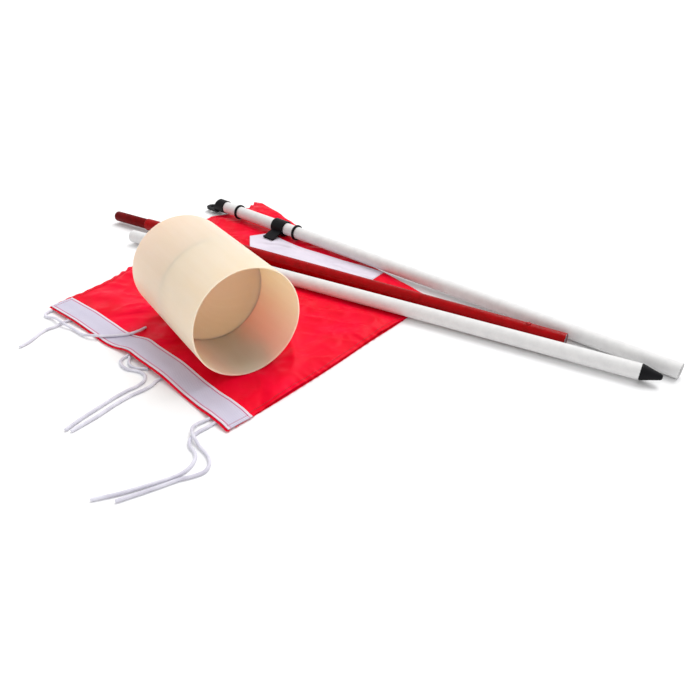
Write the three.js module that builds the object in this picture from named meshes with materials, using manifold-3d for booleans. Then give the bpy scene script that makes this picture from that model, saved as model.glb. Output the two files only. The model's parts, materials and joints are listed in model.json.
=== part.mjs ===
// A roadside windsock kit laid out flat: the sock with its mouth band and ties, the stiff drum that
// lies on it, and the three plug-together pole sections.
// Millimetres. +X runs along the top pole section, +Y from the sock's mouth to its far end, +Z up.
// The origin is on the floor, at the middle of the kit's footprint without its loose ties.
import * as THREE from "three";
import { mergeVertices } from "three/addons/utils/BufferGeometryUtils.js";
import Module from "manifold-3d";

const wasm = await Module();
wasm.setup();

// ---- Driving dimensions ----

const gap = 0.3; // left between pieces that touch
const lift = 0.1; // keeps a cord's facets off the floor

const pole = { radius: 12.5, wall: 1.4, length: 1000, edge: 0.5 };
const poleSides = 40;

const spigot = { shown: 96, held: 60, wall: 1.6, nose: 5 };
const coupler = { length: 120, wall: 1.5, inset: 1 };
const button = { fromEnd: 61, radius: 4, proud: 2, flangeRadius: 5.5, flange: 1.3 };
const buttonSpring = { width: 6, leaf: 0.6, reach: 34 };

const spike = { shown: 30, held: 30, tipRadius: 4, shoulder: 2 };

const cap = { wall: 1.6, skirt: 9, body: 14, slope: 10 };
const capLug = { radius: 13, thick: 4.4, eyeRadius: 4.4, reach: 43.5, drop: 12 };

const ring = { proud: 3.5, width: 5 };
const upperRingAt = 52;
const lowerRingAt = 228;

const clip = { at: 165, width: 34, wall: 3, play: 0.4 };
const clipTab = { reach: 43, width: 28, thick: 3.2, rib: 1.2, ribWidth: 3 };

const drum = { radius: 84, wall: 2, length: 232, edge: 0.7 };
const drumSides = 72;
const bulkhead = { thick: 3 };

const sockThick = 2.4;
const foldThick = 1.8;
const band = { width: 40, thick: 1.5, selvedge: 3 };
const cordDiameter = 4.5;

// Where each piece lies on the floor: a point of its axis and its heading from +X.
const drumPlace = { x: 89, y: -185, heading: THREE.MathUtils.degToRad(164.8) };
const topPolePlace = { x: -424.1, y: 206, heading: 0 };
// The other two sections lie beside it, each set by its far end's gap to the section before.
const middlePoleGap = 9.2;
const bottomPoleGap = 5.4;
const middleHeading = THREE.MathUtils.degToRad(8.5);
const bottomHeading = THREE.MathUtils.degToRad(10.5);
const middlePoleEnd = { x: 414, y: topPolePlace.y - 2 * pole.radius - middlePoleGap };
const bottomPoleEnd = besidePoint(middlePoleEnd, bottomHeading, 114.1, -2 * pole.radius - bottomPoleGap);
const middlePolePlace = poleStart(middlePoleEnd, middleHeading);
const bottomPolePlace = poleStart(bottomPoleEnd, bottomHeading);

// The point that lies a distance along a heading from a point, and a distance to its left.
function besidePoint({ x, y }, heading, along, left) {
  const [c, s] = [Math.cos(heading), Math.sin(heading)];
  return { x: x + along * c - left * s, y: y + along * s + left * c };
}

function poleStart(end, heading) {
  return { ...besidePoint(end, heading, -pole.length, 0), heading };
}

// ---- Materials ----

const material = (color, roughness, metalness = 0) =>
  new THREE.MeshStandardMaterial({ color, roughness, metalness });

const materials = {
  redCloth: material(0xe8102c, 0.45),
  whiteCloth: material(0xf0eef4, 0.5),
  webbing: material(0xdcd6ea, 0.8),
  cord: material(0xeceaf0, 0.85),
  whitePole: material(0xeeecea, 0.35),
  redPole: material(0x9c0a10, 0.3),
  blackPlastic: material(0x17171a, 0.45),
  creamPlastic: material(0xecdccb, 0.4),
  steel: material(0xa8a8a8, 0.35, 1),
  alloy: material(0xb9bbbe, 0.4, 1),
};

// ---- Making solids ----

const kit = new THREE.Group();

function add(parent, name, geometry, finish) {
  const mesh = new THREE.Mesh(geometry, finish);
  mesh.name = name;
  parent.add(mesh);
  return mesh;
}

function toSolid(geometry) {
  const bare = geometry.clone();
  bare.deleteAttribute("normal");
  bare.deleteAttribute("uv");
  const merged = mergeVertices(bare, 1e-4);
  return new wasm.Manifold(
    new wasm.Mesh({
      numProp: 3,
      vertProperties: new Float32Array(merged.attributes.position.array),
      triVerts: new Uint32Array(merged.index.array),
    }),
  );
}

function toGeometry(solid) {
  const { vertProperties, triVerts } = solid.getMesh();
  const geometry = new THREE.BufferGeometry();
  geometry.setAttribute("position", new THREE.BufferAttribute(vertProperties, 3));
  geometry.setIndex(new THREE.BufferAttribute(triVerts, 1));
  geometry.computeVertexNormals();
  return geometry;
}

// Turns an outline of [along, radius] points about the X axis. The outer side is listed from the
// lower end to the upper one, so that the faces point out.
function turned(outline, sides = poleSides) {
  const points = outline.map(([along, radius]) => new THREE.Vector2(radius, along));
  return new THREE.LatheGeometry(points, sides).rotateZ(-Math.PI / 2);
}

// A round tube along X with small chamfers on its outer edges.
function tube(from, to, outer, inner, edge, sides = poleSides) {
  const outline = [
    [from, inner],
    [from, outer - edge],
    [from + edge, outer],
    [to - edge, outer],
    [to, outer - edge],
    [to, inner],
    [from, inner],
  ];
  return turned(outline, sides);
}

function rod(from, to, radius, sides = poleSides) {
  return turned([[from, 0], [from, radius], [to, radius], [to, 0]], sides);
}

// An outline in the XY plane, raised from one height by a thickness.
function slab(points, from, thick) {
  const shape = new THREE.Shape(points.map(([x, y]) => new THREE.Vector2(x, y)));
  return new THREE.ExtrudeGeometry(shape, { depth: thick, bevelEnabled: false }).translate(0, 0, from);
}

// The points of a line moved sideways to its left by a distance.
function offset(line, distance) {
  return line.map((point, i) => {
    const before = line[Math.max(i - 1, 0)];
    const after = line[Math.min(i + 1, line.length - 1)];
    const along = new THREE.Vector2().subVectors(after, before).normalize();
    return [point.x - along.y * distance, point.y + along.x * distance];
  });
}

function placed(place, height) {
  const group = new THREE.Group();
  group.position.set(place.x, place.y, height);
  group.rotation.set(0, place.tilt ?? 0, place.heading, "ZYX");
  kit.add(group);
  return group;
}

// ---- Sock ----
// Two layers of ripstop joined at both sides, laid flat. The mouth lies nearest, and the white
// section and the tail are folded back into a narrow strip on top of the first section.

const foldBase = sockThick + gap;
const foldTop = foldBase + foldThick;

const mouthLine = new THREE.SplineCurve(
  [[-320, -257], [-181, -256], [-30, -258], [163, -276.5]].map((p) => new THREE.Vector2(...p)),
).getPoints(14);

const sockEdge = [[168, -103], [169, 86], [165, 174], [-423, 299.4], [-435, 178], [-353, -90]];
const sockMouth = offset(mouthLine, -band.width / 2 - band.selvedge);
add(kit, "sock_first_section", slab([...sockMouth, ...sockEdge], 0, sockThick), materials.redCloth);

const bandEdge = offset(mouthLine, -band.width / 2);
const bandInner = offset(mouthLine, band.width / 2).reverse();
add(kit, "mouth_band", slab([...bandEdge, ...bandInner], foldBase, band.thick), materials.webbing);

// The strip's near side runs just behind the middle pole section, clear of it.
const stripClear = pole.radius + 3;
function besideMiddlePole(x) {
  const rise = Math.tan(middlePolePlace.heading);
  const across = stripClear / Math.cos(middlePolePlace.heading);
  return middlePolePlace.y + (x - middlePolePlace.x) * rise + across;
}

const seamNear = 44;
const seamFar = 39;
const whiteStrip = [
  [-283, 153],
  [-215, besideMiddlePole(-215)],
  [seamNear, besideMiddlePole(seamNear)],
  [seamFar, 199],
  [-50, 190],
  [-157, 182],
  [-226, 186],
  [-264, 193],
];
add(kit, "sock_white_section", slab(whiteStrip, foldBase, foldThick), materials.whiteCloth);

const tailStrip = [
  [seamNear + gap, besideMiddlePole(seamNear + gap)],
  [150, besideMiddlePole(150)],
  [147, 174],
  [seamFar + gap, 198],
];
add(kit, "sock_tail_section", slab(tailStrip, foldBase, foldThick), materials.redCloth);

// ---- Drum ----

const drumGroup = placed(drumPlace, drum.radius + sockThick + gap);
const drumInner = drum.radius - drum.wall;
add(
  drumGroup,
  "drum_shell",
  tube(0, drum.length, drum.radius, drumInner, drum.edge, drumSides),
  materials.creamPlastic,
);
const bulkheadFrom = (drum.length - bulkhead.thick) / 2;
add(
  drumGroup,
  "drum_bulkhead",
  rod(bulkheadFrom, bulkheadFrom + bulkhead.thick, drumInner - gap, drumSides),
  materials.creamPlastic,
);

// ---- Top pole section: cap with its lug, two stop rings and the swivel clip between them ----

// The lower ring and the pole's far end carry the section, so it leans a little down towards +X.
const ringRadius = pole.radius + ring.proud;
const lowerRingHeight = sockThick + gap + ringRadius;
const topPoleTilt = Math.asin((lowerRingHeight - pole.radius) / (pole.length - lowerRingAt));
const topPoleHeight = pole.radius + pole.length * Math.sin(topPoleTilt);
const topPole = placed({ ...topPolePlace, tilt: topPoleTilt }, topPoleHeight);

const poleBore = pole.radius - pole.wall;
add(topPole, "top_pole_tube", tube(0, pole.length, pole.radius, poleBore, pole.edge), materials.whitePole);

function capSolid() {
  const outer = pole.radius + gap + cap.wall;
  const back = -capLug.reach - capLug.radius;
  const lugTop = -capLug.drop + capLug.thick / 2;
  const bodyBack = -cap.body;
  const round = toSolid(rod(bodyBack - cap.slope, cap.skirt, outer));
  // Seen from the side, the closed end slopes from the top of the body down to the lug.
  const side = new THREE.Shape([
    new THREE.Vector2(bodyBack, outer + 1),
    new THREE.Vector2(bodyBack - cap.slope, lugTop),
    new THREE.Vector2(bodyBack - cap.slope, -outer - 1),
    new THREE.Vector2(cap.skirt + 1, -outer - 1),
    new THREE.Vector2(cap.skirt + 1, outer + 1),
  ]);
  const wedge = new THREE.ExtrudeGeometry(side, { depth: 3 * outer, bevelEnabled: false })
    .translate(0, 0, -1.5 * outer)
    .rotateX(Math.PI / 2);
  const bore = toSolid(rod(-gap, cap.skirt + 1, pole.radius + gap));
  const lug = new THREE.Shape();
  lug.moveTo(bodyBack, -capLug.radius);
  lug.lineTo(bodyBack, capLug.radius);
  lug.lineTo(back + capLug.radius, capLug.radius);
  lug.absarc(back + capLug.radius, 0, capLug.radius, Math.PI / 2, 1.5 * Math.PI);
  lug.closePath();
  const eye = new THREE.Path();
  eye.absarc(back + capLug.radius, 0, capLug.eyeRadius, 0, 2 * Math.PI, true);
  lug.holes.push(eye);
  const plate = new THREE.ExtrudeGeometry(lug, {
    depth: capLug.thick,
    bevelEnabled: false,
    curveSegments: 16,
  }).translate(0, 0, -capLug.drop - capLug.thick / 2);
  return round.intersect(toSolid(wedge)).add(toSolid(plate)).subtract(bore);
}
add(topPole, "top_cap", toGeometry(capSolid()), materials.blackPlastic);

for (const [name, at] of [["upper_stop_ring", upperRingAt], ["lower_stop_ring", lowerRingAt]]) {
  const half = ring.width / 2;
  const shape = tube(at - half, at + half, ringRadius, pole.radius + gap, 1);
  add(topPole, name, shape, materials.blackPlastic);
}

// The clip's tab leans on the fold, towards the sock's mouth.
const clipMiddle = clip.at + clip.width / 2;
const clipAxisHeight = topPoleHeight - clipMiddle * Math.sin(topPoleTilt);
const tabRestHeight = clipAxisHeight - foldTop - gap - clipTab.thick / 2;
const tabDroop = Math.asin(tabRestHeight / clipTab.reach);
const clipGroup = new THREE.Group();
clipGroup.rotation.x = tabDroop;
topPole.add(clipGroup);

function clipSolid() {
  const inner = pole.radius + clip.play;
  const outer = inner + clip.wall;
  const middle = clipMiddle;
  const collar = toSolid(tube(clip.at, clip.at + clip.width, outer, inner, 0.8));
  const plate = new THREE.BoxGeometry(clipTab.width, clipTab.reach - inner - 1, clipTab.thick)
    .translate(middle, -(clipTab.reach + inner + 1) / 2, 0);
  const rib = new THREE.BoxGeometry(clipTab.width, clipTab.ribWidth, clipTab.thick / 2 + clipTab.rib)
    .translate(middle, clipTab.ribWidth / 2 - clipTab.reach, (clipTab.thick / 2 + clipTab.rib) / 2);
  return collar.add(toSolid(plate)).add(toSolid(rib));
}
add(clipGroup, "swivel_clip", toGeometry(clipSolid()), materials.blackPlastic);

// ---- Middle pole section: plug end, tube, and the coupler with its snap button ----

const poleRest = sockThick + gap + pole.radius;
const middlePole = placed(middlePolePlace, poleRest);
const buttonAt = pole.length - button.fromEnd;
const sleeveRadius = poleBore - gap;

// A hole through the top of a wall for the button.
function buttonHole() {
  const reach = 2 * pole.radius;
  return toSolid(
    new THREE.CylinderGeometry(button.radius + gap, button.radius + gap, reach, 24)
      .rotateX(Math.PI / 2)
      .translate(buttonAt, 0, reach / 2),
  );
}

const middleTube = tube(spigot.shown, pole.length, pole.radius, poleBore, pole.edge);
add(
  middlePole,
  "middle_pole_tube",
  toGeometry(toSolid(middleTube).subtract(buttonHole())),
  materials.redPole,
);

// The plug end is a drawn tube with a rounded, closed nose.
function spigotShape() {
  const outer = sleeveRadius;
  const inner = outer - spigot.wall;
  const end = spigot.shown + spigot.held;
  const centre = [spigot.nose, outer - spigot.nose];
  const nose = new THREE.Path().absarc(...centre, spigot.nose, Math.PI, Math.PI / 2, true);
  const round = nose.getPoints(6).map((point) => [point.x, point.y]);
  return turned([[0, 0], ...round, [end, outer], [end, inner], [spigot.nose, inner], [spigot.nose, 0]]);
}
add(middlePole, "middle_pole_spigot", spigotShape(), materials.redPole);

const couplerEnd = pole.length - coupler.inset;
const couplerBore = sleeveRadius - coupler.wall;
const couplerTube = tube(couplerEnd - coupler.length, couplerEnd, sleeveRadius, couplerBore, pole.edge);
add(
  middlePole,
  "coupler_sleeve",
  toGeometry(toSolid(couplerTube).subtract(buttonHole())),
  materials.alloy,
);

// The button's flange lies inside the coupler, under the narrowest part of the bore that it meets.
const flangeTop = Math.sqrt(couplerBore ** 2 - button.flangeRadius ** 2) - gap;
const buttonTop = pole.radius + button.proud;
const buttonShape = new THREE.LatheGeometry(
  [
    [0, flangeTop - button.flange],
    [button.flangeRadius, flangeTop - button.flange],
    [button.flangeRadius, flangeTop],
    [button.radius, flangeTop],
    [button.radius, buttonTop - 1],
    [button.radius - 1.2, buttonTop - 0.2],
    [0, buttonTop],
  ].map((p) => new THREE.Vector2(...p)),
  24,
)
  .rotateX(Math.PI / 2)
  .translate(buttonAt, 0, 0);
add(middlePole, "snap_button", buttonShape, materials.redPole);

// A leaf bent double: its upper arm pushes the button out, and its lower arm lies in the bore.
function springShape() {
  const top = flangeTop - button.flange - gap;
  const bottom = -Math.sqrt(couplerBore ** 2 - (buttonSpring.width / 2) ** 2) + gap;
  const bend = (top - bottom) / 2;
  const outline = new THREE.Shape();
  outline.moveTo(buttonAt + 3, top);
  outline.lineTo(buttonAt - buttonSpring.reach, top);
  outline.absarc(buttonAt - buttonSpring.reach, top - bend, bend, Math.PI / 2, 1.5 * Math.PI);
  outline.lineTo(buttonAt + 3, bottom);
  outline.lineTo(buttonAt + 3, bottom + buttonSpring.leaf);
  outline.lineTo(buttonAt - buttonSpring.reach, bottom + buttonSpring.leaf);
  const inner = bend - buttonSpring.leaf;
  outline.absarc(buttonAt - buttonSpring.reach, top - bend, inner, 1.5 * Math.PI, Math.PI / 2, true);
  outline.lineTo(buttonAt + 3, top - buttonSpring.leaf);
  outline.closePath();
  return new THREE.ExtrudeGeometry(outline, {
    depth: buttonSpring.width,
    bevelEnabled: false,
    curveSegments: 10,
  })
    .translate(0, 0, -buttonSpring.width / 2)
    .rotateX(Math.PI / 2);
}
add(middlePole, "button_spring", springShape(), materials.steel);

// ---- Bottom pole section: tube with the ground spike pressed into its far end ----

const bottomPole = placed(bottomPolePlace, poleRest);
add(
  bottomPole,
  "bottom_pole_tube",
  tube(0, pole.length, pole.radius, poleBore, pole.edge),
  materials.whitePole,
);

const spikeBase = pole.length + gap;
const spikeShape = turned([
  [spikeBase - spike.held, 0],
  [spikeBase - spike.held, sleeveRadius],
  [spikeBase, sleeveRadius],
  [spikeBase, pole.radius],
  [spikeBase + spike.shoulder, pole.radius],
  [spikeBase + spike.shown - 1, spike.tipRadius],
  [spikeBase + spike.shown, spike.tipRadius - 1],
  [spikeBase + spike.shown, 0],
]);
add(bottomPole, "ground_spike", spikeShape, materials.blackPlastic);

// ---- Ties: three cords sewn under the band at their middles, each with two free ends ----
// The middle cord also shows a short bight in front of the band.

const onFloor = cordDiameter / 2 + lift;
const onSock = sockThick + gap + cordDiameter / 2;
const onBand = foldBase + band.thick + gap + cordDiameter / 2;

const ties = {
  left_tie_end_1: [
    [-259, -280.2, onFloor],
    [-260, -291, onFloor],
    [-258, -305, onFloor],
    [-260, -317, onFloor],
    [-256, -333, onFloor],
    [-246, -355, onFloor],
    [-243, -373, onFloor],
  ],
  left_tie_end_2: [
    [-311.5, -280.4, onFloor],
    [-312, -287, onFloor],
    [-309, -294, onFloor],
    [-301, -297.5, onFloor],
    [-292, -295, onFloor + 0.6],
    [-282, -293, onFloor + 2.6],
    [-271, -293.5, onFloor + 4.8],
    [-260, -294, onFloor + 5.4],
    [-248, -293.5, onFloor + 4],
    [-231, -290.5, onFloor + 1],
    [-214, -290, onFloor + 0.4],
    [-198, -289.5, onFloor + 1],
    [-180, -284, onSock + 1.6],
    [-163, -273, onBand],
    [-149, -259, onBand],
    [-138, -243, onBand],
    [-134, -230, onBand + 0.3],
    [-137, -212, onSock],
  ],
  middle_tie_end_1: [
    [-92, -279.8, onFloor],
    [-91.5, -286, onFloor],
    [-87, -294, onFloor],
    [-76, -299, onFloor],
    [-62, -299.5, onFloor],
    [-50, -294.5, onFloor],
    [-38, -291, onFloor],
    [-26, -293, onFloor],
    [-17, -301.5, onFloor],
    [-14, -315, onFloor],
    [-15.5, -333, onFloor],
    [-15, -352, onFloor],
    [-12, -380, onFloor],
    [-9, -406, onFloor],
    [-3.5, -433, onFloor],
  ],
  middle_tie_bight: [
    [-82, -281.9, onFloor],
    [-74, -288, onFloor],
    [-64, -291.2, onFloor],
    [-58, -290.9, onFloor],
    [-50, -287.7, onFloor],
    [-43, -282.4, onFloor],
  ],
  middle_tie_end_2: [
    [-4, -283.8, onFloor],
    [-3, -290, onFloor],
    [0.5, -300, onFloor],
    [1, -314, onFloor],
    [-1.5, -333, onFloor],
    [-1, -358, onFloor],
    [3, -390, onFloor],
    [4.5, -429, onFloor],
  ],
  right_tie_end_1: [
    [123, -296.1, onFloor],
    [121, -305, onFloor],
    [120, -315, onFloor + 1],
    [124.5, -326, onFloor + 3.8],
    [133, -332.6, onFloor + 5.3],
    [142, -336.4, onFloor + 4],
    [157, -340.5, onFloor + 0.8],
    [178, -345, onFloor],
    [191, -353, onFloor],
    [196.5, -365, onFloor],
    [192, -379, onFloor],
    [184, -393, onFloor],
    [177, -411, onFloor],
    [167, -436, onFloor],
    [156, -462, onFloor],
  ],
  right_tie_end_2: [
    [135, -297.4, onFloor],
    [134.5, -309, onFloor],
    [133, -325, onFloor],
    [136, -339, onFloor],
    [146, -347.5, onFloor],
    [159, -351, onFloor],
    [169, -357, onFloor],
    [176, -369, onFloor],
    [178, -384, onFloor],
    [174, -399, onFloor],
    [165, -419, onFloor],
    [150, -450, onFloor],
    [132, -479, onFloor],
  ],
};

const cordSides = 8;
const cordStep = 2.5 * cordDiameter;
for (const [name, route] of Object.entries(ties)) {
  const path = new THREE.CatmullRomCurve3(route.map((point) => new THREE.Vector3(...point)));
  const section = new THREE.Shape();
  section.absarc(0, 0, cordDiameter / 2, 0, 2 * Math.PI);
  const shape = new THREE.ExtrudeGeometry(section, {
    extrudePath: path,
    steps: Math.ceil(path.getLength() / cordStep),
    curveSegments: cordSides,
    bevelEnabled: false,
  });
  add(kit, name, shape, materials.cord);
}

kit.updateMatrixWorld(true);
export default kit;
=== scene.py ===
import json
from math import cos, pi, radians, sin

import bmesh
import bpy
import numpy as np
from mathutils import Matrix, Vector


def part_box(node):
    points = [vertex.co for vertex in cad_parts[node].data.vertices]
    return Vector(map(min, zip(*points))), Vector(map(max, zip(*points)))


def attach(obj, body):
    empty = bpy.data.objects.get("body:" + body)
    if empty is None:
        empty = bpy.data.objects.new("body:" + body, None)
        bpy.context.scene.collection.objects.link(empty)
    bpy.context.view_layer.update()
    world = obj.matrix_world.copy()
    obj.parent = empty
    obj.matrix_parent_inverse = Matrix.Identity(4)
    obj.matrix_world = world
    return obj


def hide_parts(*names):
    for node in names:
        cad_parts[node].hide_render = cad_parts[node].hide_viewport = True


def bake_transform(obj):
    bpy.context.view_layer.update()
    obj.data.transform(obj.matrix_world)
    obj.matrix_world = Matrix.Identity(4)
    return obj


# A windsock kit, laid out flat on the floor: a nylon sock with its mouth band and ties, the stiff
# drum that lies on it, and the three sections of its pole. MM brings a millimetre into metres.
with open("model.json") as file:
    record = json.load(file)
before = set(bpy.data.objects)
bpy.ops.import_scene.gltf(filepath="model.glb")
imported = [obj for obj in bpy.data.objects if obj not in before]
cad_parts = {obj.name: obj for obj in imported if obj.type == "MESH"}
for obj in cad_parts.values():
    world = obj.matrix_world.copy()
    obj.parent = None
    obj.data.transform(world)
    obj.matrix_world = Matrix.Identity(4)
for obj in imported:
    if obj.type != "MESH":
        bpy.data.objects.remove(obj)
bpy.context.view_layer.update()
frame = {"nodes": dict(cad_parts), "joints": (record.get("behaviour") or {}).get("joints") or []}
MM = 0.001

# ---- Studio ---- A pale floor that runs out past the view, in a white surround.

scene = bpy.context.scene
scene.view_settings.view_transform = "Standard"

camera_data = bpy.data.cameras.new("camera")
camera_data.sensor_width = 36
camera_data.lens = 32.93
camera_data.clip_start = 0.01
camera = bpy.data.objects.new("camera", camera_data)
camera.location = (0.694, -0.687, 0.5499)
camera.rotation_euler = (radians(90 - 33.315), 0, radians(39.845))
scene.collection.objects.link(camera)
scene.camera = camera


def node(finish, kind, values=None, **settings):
    """A new shader node. Each value is a number for its input, or the output that feeds it."""
    made = finish.node_tree.nodes.new("ShaderNode" + kind)
    for key, value in settings.items():
        setattr(made, key, value)
    for key, value in (values or {}).items():
        if isinstance(value, bpy.types.NodeSocket):
            finish.node_tree.links.new(value, made.inputs[key])
        else:
            made.inputs[key].default_value = value
    return made


def new_finish(name, colour, roughness, **sockets):
    """A material whose shader has this colour and roughness, and the shader itself."""
    made = bpy.data.materials.new(name)
    made.use_nodes = True
    shader = made.node_tree.nodes["Principled BSDF"]
    shader.inputs["Base Color"].default_value = (*colour, 1)
    shader.inputs["Roughness"].default_value = roughness
    for key, value in sockets.items():
        shader.inputs[key.replace("_", " ")].default_value = value
    made.diffuse_color = (*colour, 1)
    return made, shader


def feed(finish, output, shader, name):
    """Joins an output to one of a shader's inputs."""
    finish.node_tree.links.new(output, shader.inputs[name])


def noise(finish, place, scale, detail, **more):
    """Cloudy noise, about 1 / scale metres across."""
    values = {"Vector": place, "Scale": scale, "Detail": detail, **more}
    return node(finish, "TexNoise", values).outputs["Fac"]


def ramp(finish, value, *stops):
    """The colour that a value has on a scale of (place, colour) stops."""
    made = node(finish, "ValToRGB", {"Fac": value})
    marks = made.color_ramp.elements
    for mark, (place, colour) in zip(marks, (stops[0], stops[-1])):
        mark.position, mark.color = place, (*colour, 1)
    for place, colour in stops[1:-1]:
        marks.new(place).color = (*colour, 1)
    return made.outputs["Color"]


def mapped(finish, value, low, high, start=0.0, end=1.0):
    """A value between start and end, carried over to between low and high."""
    values = {"Value": value, "From Min": start, "From Max": end, "To Min": low, "To Max": high}
    return node(finish, "MapRange", values).outputs["Result"]


def worked(finish, operation, *values):
    """The result of a sum on one or two values."""
    return node(finish, "Math", dict(enumerate(values)), operation=operation).outputs["Value"]


def raised(finish, height, strength, distance, **over):
    """The slope of a surface that a height raises, over another slope where Normal names one."""
    values = {"Height": height, "Strength": strength, "Distance": distance, **over}
    return node(finish, "Bump", values).outputs["Normal"]


def plain_mesh(name, points, faces, finish):
    """A smooth-shaded object at the origin, with its place in its mesh."""
    mesh = bpy.data.meshes.new(name)
    mesh.from_pydata([tuple(p) for p in points], [], [tuple(f) for f in faces])
    mesh.materials.append(finish)
    mesh.shade_smooth()
    made = bpy.data.objects.new(name, mesh)
    scene.collection.objects.link(made)
    return made


FLOOR_REACH, FLOOR_LEVEL = 14, -0.0004
floor_finish, floor_shader = new_finish("floor_paint", (0.93, 0.93, 0.935), 0.85)
floor_spots = node(floor_finish, "TexNoise", {"Scale": 0.6, "Detail": 2.0}).outputs["Fac"]
floor_tone = ramp(floor_finish, floor_spots, (0.0, (0.925, 0.925, 0.93)), (1.0, (0.94, 0.94, 0.945)))
feed(floor_finish, floor_tone, floor_shader, "Base Color")
corners = [(FLOOR_REACH * a, FLOOR_REACH * b, FLOOR_LEVEL) for a, b in ((-1, -1), (1, -1), (1, 1), (-1, 1))]
floor = plain_mesh("floor", corners, [(0, 1, 2, 3)], floor_finish)

room = bpy.data.worlds.new("white_room")
room.use_nodes = True
sky = room.node_tree.nodes["Background"].inputs
sky["Color"].default_value, sky["Strength"].default_value = (1, 1, 1, 1), 0.8
scene.world = room


def lamp(name, kind, place, power, **settings):
    """Power is in watts, or W/m2 for a sun."""
    data = bpy.data.lights.new(name, kind)
    data.energy = power
    for key, value in settings.items():
        setattr(data, key, value)
    made = bpy.data.objects.new(name, data)
    made.location = place
    made.rotation_euler = (-Vector(place)).to_track_quat("-Z", "Y").to_euler()
    scene.collection.objects.link(made)


lamp("overhead_key", "SUN", (0.1, 1.3, 2.6), 1.5, angle=radians(36))
lamp("back_softbox", "AREA", (-0.25, 1.9, 1.6), 7, shape="RECTANGLE", size=0.9, size_y=0.5)

# ---- Ties ----
# Three braided nylon cords, each sewn under the mouth band at its middle, with two free ends that
# lie on the floor. The cut ends are melted so that they don't fray.

CORD_ACROSS = 4.5 * MM
TUCKED_UNDER = 6 * MM
STRANDS = 4
BRAID_SIDES = 24
BRAID_LAY = 5.5 * MM
MELTED_TIP = 1.6 * MM

# Heights of a cord's middle, in millimetres. A point without a height lies on the floor.
ON_FLOOR = 2.35
ON_SOCK = 4.95
ON_BAND = 6.75

# Each cord's length, with what is tucked under the mouth band, and its route from its exit.
tie_routes = {
    "left_tie_end_1": (0.102, [
        (-259, -280.2), (-260, -291), (-258, -305), (-260, -317), (-256, -333), (-246, -355), (-243, -373),
    ]),
    "left_tie_end_2": (0.245, [
        (-311.5, -280.4), (-312, -287), (-309, -294), (-301, -297.5), (-292, -295, ON_FLOOR + 0.6),
        (-282, -293, ON_FLOOR + 2.6), (-271, -293.5, ON_FLOOR + 4.8), (-260, -294, ON_FLOOR + 5.4),
        (-248, -293.5, ON_FLOOR + 4), (-231, -290.5, ON_FLOOR + 1), (-214, -290, ON_FLOOR + 0.4),
        (-198, -289.5, ON_FLOOR + 1), (-180, -284, ON_SOCK + 1.6), (-163, -273, ON_BAND),
        (-149, -259, ON_BAND), (-138, -243, ON_BAND), (-134, -230, ON_BAND + 0.3), (-137, -212, ON_SOCK),
    ]),
    "middle_tie_end_1": (0.231, [
        (-92, -279.8), (-91.5, -286), (-87, -294), (-76, -299), (-62, -299.5), (-50, -294.5), (-38, -291),
        (-26, -293), (-17, -301.5), (-14, -315), (-15.5, -333), (-15, -352), (-12, -380), (-9, -406),
        (-3.5, -433),
    ]),
    "middle_tie_bight": (0.056, [
        (-82, -281.9), (-74, -288), (-64, -291.2), (-58, -290.9), (-50, -287.7), (-43, -282.4),
    ]),
    "middle_tie_end_2": (0.152, [
        (-4, -283.8), (-3, -290), (0.5, -300), (1, -314), (-1.5, -333), (-1, -358), (3, -390), (4.5, -429),
    ]),
    "right_tie_end_1": (0.23, [
        (123, -296.1), (121, -305), (120, -315, ON_FLOOR + 1), (124.5, -326, ON_FLOOR + 3.8),
        (133, -332.6, ON_FLOOR + 5.3), (142, -336.4, ON_FLOOR + 4), (157, -340.5, ON_FLOOR + 0.8),
        (178, -345), (191, -353), (196.5, -365), (192, -379), (184, -393), (177, -411), (167, -436),
        (156, -462),
    ]),
    "right_tie_end_2": (0.222, [
        (135, -297.4), (134.5, -309), (133, -325), (136, -339), (146, -347.5), (159, -351), (169, -357),
        (176, -369), (178, -384), (174, -399), (165, -419), (150, -450), (132, -479),
    ]),
}


def run_of(line):
    """How far along a line each of its points is."""
    return np.concatenate([[0], np.cumsum(np.linalg.norm(np.diff(line, axis=0), axis=1))])


def resampled(line, count):
    """A line given again as points at even distances."""
    run = run_of(line)
    even = np.linspace(0, run[-1], count)
    return np.stack([np.interp(even, run, line[:, k]) for k in range(line.shape[1])], axis=1)


def smooth_line(points, step):
    """A smooth line through the points, given again as points about a step apart."""
    p = np.array(points, float)
    p = np.vstack([2 * p[0] - p[1], p, 2 * p[-1] - p[-2]])
    t = np.concatenate([[0], np.cumsum(np.sqrt(np.linalg.norm(np.diff(p, axis=0), axis=1)))])
    fine = []
    for i in range(1, len(p) - 2):
        at = np.linspace(t[i], t[i + 1], 40, endpoint=False)[:, None]

        def mix(a, b, ta, tb):
            return ((tb - at) * a + (at - ta) * b) / (tb - ta)

        a1 = mix(p[i - 1], p[i], t[i - 1], t[i])
        a2 = mix(p[i], p[i + 1], t[i], t[i + 1])
        a3 = mix(p[i + 1], p[i + 2], t[i + 1], t[i + 2])
        fine.append(mix(mix(a1, a2, t[i - 1], t[i + 1]), mix(a2, a3, t[i], t[i + 2]), t[i], t[i + 1]))
    fine = np.vstack([*fine, p[-2]])
    return resampled(fine, max(2, round(run_of(fine)[-1] / step) + 1))


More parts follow.
